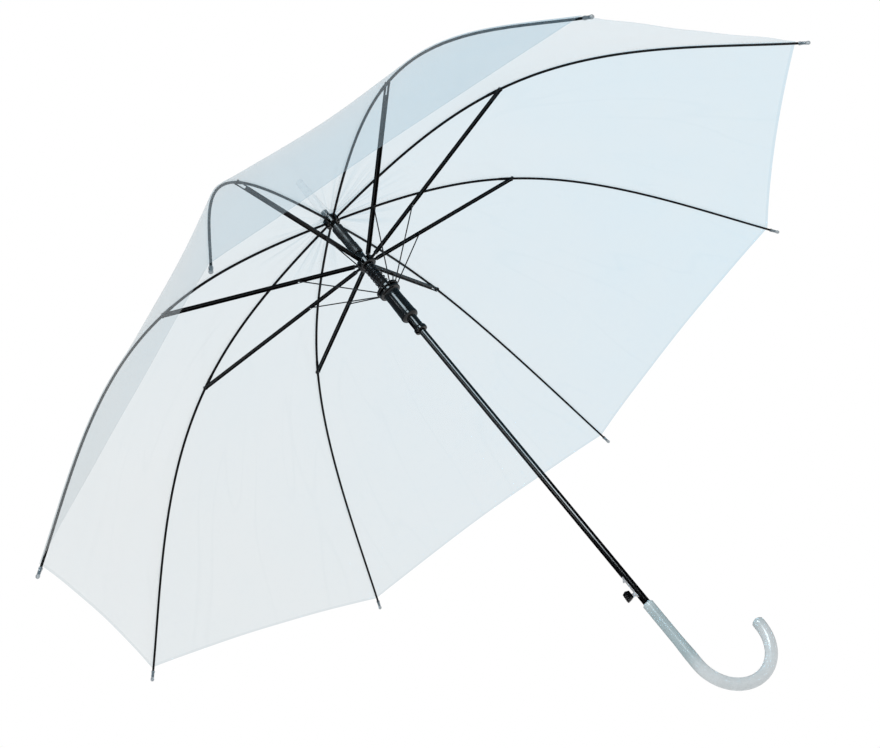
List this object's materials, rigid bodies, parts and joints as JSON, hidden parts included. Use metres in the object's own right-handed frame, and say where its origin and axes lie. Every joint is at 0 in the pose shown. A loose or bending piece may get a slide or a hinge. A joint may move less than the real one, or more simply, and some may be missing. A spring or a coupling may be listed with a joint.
{
  "type": "auto-open stick umbrella",
  "caption": "Open clear-film stick umbrella with a folding black rib frame, sliding runner, opening spring, release button and hook handle.",
  "frame": {"origin": "on the shaft's axis, half way down the straight grip, where a hand holds it", "axes": "+Z along the shaft from the grip to the ferrule, +X the way the handle's hook turns"},
  "size_m": [1.0212, 1.0212, 0.7803],
  "materials": {
    "black_steel": "gloss black paint",
    "black_plastic": "satin black moulded plastic",
    "spring_steel": "blackened steel wire",
    "bright_steel": "plated spring strip",
    "clear_plastic": "clear moulded plastic",
    "milky_plastic": "translucent milky moulded plastic",
    "clear_film": "clear flexible film, glossy"
  },
  "bodies": {
    "stick": {"shaft": "black_steel", "top_notch": "black_plastic", "notch_ring": "spring_steel", "spacer_sleeve": "black_plastic", "ferrule": "clear_plastic", "handle": "milky_plastic"},
    "hub": {"hub": "black_plastic", "hub_ring": "spring_steel", "opening_spring": "spring_steel"},
    "runner": {"runner": "black_plastic"},
    "trigger": {"catch_strip": "bright_steel", "trigger_button": "black_plastic"},
    "rib_inner_1": {"rib_inner_1": "black_steel"},
    "rib_outer_1": {"rib_outer_1": "black_steel", "rib_cap_1": "clear_plastic", "canopy_panel_1": "clear_film"},
    "stretcher_1": {"stretcher_1": "black_steel"},
    "strut_1": {"strut_1": "spring_steel"},
    "rib_inner_2": {"rib_inner_2": "black_steel"},
    "rib_outer_2": {"rib_outer_2": "black_steel", "rib_cap_2": "clear_plastic", "canopy_panel_2": "clear_film"},
    "stretcher_2": {"stretcher_2": "black_steel"},
    "strut_2": {"strut_2": "spring_steel"},
    "rib_inner_3": {"rib_inner_3": "black_steel"},
    "rib_outer_3": {"rib_outer_3": "black_steel", "rib_cap_3": "clear_plastic", "canopy_panel_3": "clear_film"},
    "stretcher_3": {"stretcher_3": "black_steel"},
    "strut_3": {"strut_3": "spring_steel"},
    "rib_inner_4": {"rib_inner_4": "black_steel"},
    "rib_outer_4": {"rib_outer_4": "black_steel", "rib_cap_4": "clear_plastic", "canopy_panel_4": "clear_film"},
    "stretcher_4": {"stretcher_4": "black_steel"},
    "strut_4": {"strut_4": "spring_steel"},
    "rib_inner_5": {"rib_inner_5": "black_steel"},
    "rib_outer_5": {"rib_outer_5": "black_steel", "rib_cap_5": "clear_plastic", "canopy_panel_5": "clear_film"},
    "stretcher_5": {"stretcher_5": "black_steel"},
    "strut_5": {"strut_5": "spring_steel"},
    "rib_inner_6": {"rib_inner_6": "black_steel"},
    "rib_outer_6": {"rib_outer_6": "black_steel", "rib_cap_6": "clear_plastic", "canopy_panel_6": "clear_film"},
    "stretcher_6": {"stretcher_6": "black_steel"},
    "strut_6": {"strut_6": "spring_steel"},
    "rib_inner_7": {"rib_inner_7": "black_steel"},
    "rib_outer_7": {"rib_outer_7": "black_steel", "rib_cap_7": "clear_plastic", "canopy_panel_7": "clear_film"},
    "stretcher_7": {"stretcher_7": "black_steel"},
    "strut_7": {"strut_7": "spring_steel"},
    "rib_inner_8": {"rib_inner_8": "black_steel"},
    "rib_outer_8": {"rib_outer_8": "black_steel", "rib_cap_8": "clear_plastic", "canopy_panel_8": "clear_film"},
    "stretcher_8": {"stretcher_8": "black_steel"},
    "strut_8": {"strut_8": "spring_steel"}
  },
  "joints": [
    {"name": "rib_fold_1", "type": "hinge", "parent": "stick", "child": "rib_inner_1", "pos_m": [0.0075, 0, 0.619], "axis": [0, 1, 0], "range_deg": [0, 79.5], "stiffness_Nm_per_rad": 1.2, "springref_deg": -85.94},
    {"name": "rib_flex_1", "type": "hinge", "parent": "rib_inner_1", "child": "rib_outer_1", "pos_m": [0.2456, 0, 0.5835], "axis": [0, 1, 0], "range_deg": [-30.2, 0], "deforming": ["canopy_panel_1"]},
    {"name": "stretcher_fold_1", "type": "hinge", "parent": "rib_inner_1", "child": "stretcher_1", "pos_m": [0.2456, 0, 0.5835], "axis": [0, 1, 0], "range_deg": [-159.5, 0]},
    {"name": "strut_fold_1", "type": "hinge", "parent": "stretcher_1", "child": "strut_1", "pos_m": [0.08493, 0, 0.55919], "axis": [0, 1, 0], "range_deg": [0, 25.36]},
    {"name": "rib_fold_2", "type": "hinge", "parent": "stick", "child": "rib_inner_2", "pos_m": [0.0053, 0.0053, 0.619], "axis": [-0.7071, 0.7071, 0], "range_deg": [0, 79.5]},
    {"name": "rib_flex_2", "type": "hinge", "parent": "rib_inner_2", "child": "rib_outer_2", "pos_m": [0.17367, 0.17367, 0.5835], "axis": [-0.7071, 0.7071, 0], "range_deg": [-30.2, 0], "deforming": ["canopy_panel_2"]},
    {"name": "stretcher_fold_2", "type": "hinge", "parent": "rib_inner_2", "child": "stretcher_2", "pos_m": [0.17367, 0.17367, 0.5835], "axis": [-0.7071, 0.7071, 0], "range_deg": [-159.5, 0]},
    {"name": "strut_fold_2", "type": "hinge", "parent": "stretcher_2", "child": "strut_2", "pos_m": [0.06006, 0.06006, 0.55919], "axis": [-0.7071, 0.7071, 0], "range_deg": [0, 25.36]},
    {"name": "rib_fold_3", "type": "hinge", "parent": "stick", "child": "rib_inner_3", "pos_m": [0, 0.0075, 0.619], "axis": [-1, 0, 0], "range_deg": [0, 79.5]},
    {"name": "rib_flex_3", "type": "hinge", "parent": "rib_inner_3", "child": "rib_outer_3", "pos_m": [0, 0.2456, 0.5835], "axis": [-1, 0, 0], "range_deg": [-30.2, 0], "deforming": ["canopy_panel_3"]},
    {"name": "stretcher_fold_3", "type": "hinge", "parent": "rib_inner_3", "child": "stretcher_3", "pos_m": [0, 0.2456, 0.5835], "axis": [-1, 0, 0], "range_deg": [-159.5, 0]},
    {"name": "strut_fold_3", "type": "hinge", "parent": "stretcher_3", "child": "strut_3", "pos_m": [0, 0.08493, 0.55919], "axis": [-1, 0, 0], "range_deg": [0, 25.36]},
    {"name": "rib_fold_4", "type": "hinge", "parent": "stick", "child": "rib_inner_4", "pos_m": [-0.0053, 0.0053, 0.619], "axis": [-0.7071, -0.7071, 0], "range_deg": [0, 79.5]},
    {"name": "rib_flex_4", "type": "hinge", "parent": "rib_inner_4", "child": "rib_outer_4", "pos_m": [-0.17367, 0.17367, 0.5835], "axis": [-0.7071, -0.7071, 0], "range_deg": [-30.2, 0], "deforming": ["canopy_panel_4"]},
    {"name": "stretcher_fold_4", "type": "hinge", "parent": "rib_inner_4", "child": "stretcher_4", "pos_m": [-0.17367, 0.17367, 0.5835], "axis": [-0.7071, -0.7071, 0], "range_deg": [-159.5, 0]},
    {"name": "strut_fold_4", "type": "hinge", "parent": "stretcher_4", "child": "strut_4", "pos_m": [-0.06006, 0.06006, 0.55919], "axis": [-0.7071, -0.7071, 0], "range_deg": [0, 25.36]},
    {"name": "rib_fold_5", "type": "hinge", "parent": "stick", "child": "rib_inner_5", "pos_m": [-0.0075, 0, 0.619], "axis": [0, -1, 0], "range_deg": [0, 79.5]},
    {"name": "rib_flex_5", "type": "hinge", "parent": "rib_inner_5", "child": "rib_outer_5", "pos_m": [-0.2456, 0, 0.5835], "axis": [0, -1, 0], "range_deg": [-30.2, 0], "deforming": ["canopy_panel_5"]},
    {"name": "stretcher_fold_5", "type": "hinge", "parent": "rib_inner_5", "child": "stretcher_5", "pos_m": [-0.2456, 0, 0.5835], "axis": [0, -1, 0], "range_deg": [-159.5, 0]},
    {"name": "strut_fold_5", "type": "hinge", "parent": "stretcher_5", "child": "strut_5", "pos_m": [-0.08493, 0, 0.55919], "axis": [0, -1, 0], "range_deg": [0, 25.36]},
    {"name": "rib_fold_6", "type": "hinge", "parent": "stick", "child": "rib_inner_6", "pos_m": [-0.0053, -0.0053, 0.619], "axis": [0.7071, -0.7071, 0], "range_deg": [0, 79.5]},
    {"name": "rib_flex_6", "type": "hinge", "parent": "rib_inner_6", "child": "rib_outer_6", "pos_m": [-0.17367, -0.17367, 0.5835], "axis": [0.7071, -0.7071, 0], "range_deg": [-30.2, 0], "deforming": ["canopy_panel_6"]},
    {"name": "stretcher_fold_6", "type": "hinge", "parent": "rib_inner_6", "child": "stretcher_6", "pos_m": [-0.17367, -0.17367, 0.5835], "axis": [0.7071, -0.7071, 0], "range_deg": [-159.5, 0]},
    {"name": "strut_fold_6", "type": "hinge", "parent": "stretcher_6", "child": "strut_6", "pos_m": [-0.06006, -0.06006, 0.55919], "axis": [0.7071, -0.7071, 0], "range_deg": [0, 25.36]},
    {"name": "rib_fold_7", "type": "hinge", "parent": "stick", "child": "rib_inner_7", "pos_m": [0, -0.0075, 0.619], "axis": [1, 0, 0], "range_deg": [0, 79.5]},
    {"name": "rib_flex_7", "type": "hinge", "parent": "rib_inner_7", "child": "rib_outer_7", "pos_m": [0, -0.2456, 0.5835], "axis": [1, 0, 0], "range_deg": [-30.2, 0], "deforming": ["canopy_panel_7"]},
    {"name": "stretcher_fold_7", "type": "hinge", "parent": "rib_inner_7", "child": "stretcher_7", "pos_m": [0, -0.2456, 0.5835], "axis": [1, 0, 0], "range_deg": [-159.5, 0]},
    {"name": "strut_fold_7", "type": "hinge", "parent": "stretcher_7", "child": "strut_7", "pos_m": [0, -0.08493, 0.55919], "axis": [1, 0, 0], "range_deg": [0, 25.36]},
    {"name": "rib_fold_8", "type": "hinge", "parent": "stick", "child": "rib_inner_8", "pos_m": [0.0053, -0.0053, 0.619], "axis": [0.7071, 0.7071, 0], "range_deg": [0, 79.5]},
    {"name": "rib_flex_8", "type": "hinge", "parent": "rib_inner_8", "child": "rib_outer_8", "pos_m": [0.17367, -0.17367, 0.5835], "axis": [0.7071, 0.7071, 0], "range_deg": [-30.2, 0], "deforming": ["canopy_panel_8"]},
    {"name": "stretcher_fold_8", "type": "hinge", "parent": "rib_inner_8", "child": "stretcher_8", "pos_m": [0.17367, -0.17367, 0.5835], "axis": [0.7071, 0.7071, 0], "range_deg": [-159.5, 0]},
    {"name": "strut_fold_8", "type": "hinge", "parent": "stretcher_8", "child": "strut_8", "pos_m": [0.06006, -0.06006, 0.55919], "axis": [0.7071, 0.7071, 0], "range_deg": [0, 25.36]},
    {"name": "hub_pivot", "type": "hinge", "parent": "stretcher_1", "child": "hub", "pos_m": [0.0075, 0, 0.548], "axis": [0, 1, 0], "range_deg": [0, 80]},
    {"name": "runner_slide", "type": "slide", "parent": "hub", "child": "runner", "axis": [0, 0, 1], "range_m": [0, 0.03083], "deforming": ["opening_spring"]},
    {"name": "trigger_press", "type": "slide", "parent": "stick", "child": "trigger", "axis": [1, 0, 0], "range_m": [0, 0.0019], "stiffness_N_per_m": 1500, "springref_m": -0.0004}
  ],
  "couplings": [
    {"joint": "rib_flex_1", "follows": "rib_fold_1", "ratio": -0.37862},
    {"joint": "stretcher_fold_1", "follows": "rib_fold_1", "ratio": -2},
    {"joint": "strut_fold_1", "follows": "rib_fold_1", "ratio": 0.31772},
    {"joint": "rib_fold_2", "follows": "rib_fold_1", "ratio": 1},
    {"joint": "rib_flex_2", "follows": "rib_fold_1", "ratio": -0.37862},
    {"joint": "stretcher_fold_2", "follows": "rib_fold_1", "ratio": -2},
    {"joint": "strut_fold_2", "follows": "rib_fold_1", "ratio": 0.31772},
    {"joint": "rib_fold_3", "follows": "rib_fold_1", "ratio": 1},
    {"joint": "rib_flex_3", "follows": "rib_fold_1", "ratio": -0.37862},
    {"joint": "stretcher_fold_3", "follows": "rib_fold_1", "ratio": -2},
    {"joint": "strut_fold_3", "follows": "rib_fold_1", "ratio": 0.31772},
    {"joint": "rib_fold_4", "follows": "rib_fold_1", "ratio": 1},
    {"joint": "rib_flex_4", "follows": "rib_fold_1", "ratio": -0.37862},
    {"joint": "stretcher_fold_4", "follows": "rib_fold_1", "ratio": -2},
    {"joint": "strut_fold_4", "follows": "rib_fold_1", "ratio": 0.31772},
    {"joint": "rib_fold_5", "follows": "rib_fold_1", "ratio": 1},
    {"joint": "rib_flex_5", "follows": "rib_fold_1", "ratio": -0.37862},
    {"joint": "stretcher_fold_5", "follows": "rib_fold_1", "ratio": -2},
    {"joint": "strut_fold_5", "follows": "rib_fold_1", "ratio": 0.31772},
    {"joint": "rib_fold_6", "follows": "rib_fold_1", "ratio": 1},
    {"joint": "rib_flex_6", "follows": "rib_fold_1", "ratio": -0.37862},
    {"joint": "stretcher_fold_6", "follows": "rib_fold_1", "ratio": -2},
    {"joint": "strut_fold_6", "follows": "rib_fold_1", "ratio": 0.31772},
    {"joint": "rib_fold_7", "follows": "rib_fold_1", "ratio": 1},
    {"joint": "rib_flex_7", "follows": "rib_fold_1", "ratio": -0.37862},
    {"joint": "stretcher_fold_7", "follows": "rib_fold_1", "ratio": -2},
    {"joint": "strut_fold_7", "follows": "rib_fold_1", "ratio": 0.31772},
    {"joint": "rib_fold_8", "follows": "rib_fold_1", "ratio": 1},
    {"joint": "rib_flex_8", "follows": "rib_fold_1", "ratio": -0.37862},
    {"joint": "stretcher_fold_8", "follows": "rib_fold_1", "ratio": -2},
    {"joint": "strut_fold_8", "follows": "rib_fold_1", "ratio": 0.31772},
    {"joint": "hub_pivot", "follows": "rib_fold_1", "ratio": 1},
    {"joint": "runner_slide", "follows": "rib_fold_1", "m_per_rad": 0.022072}
  ]
}
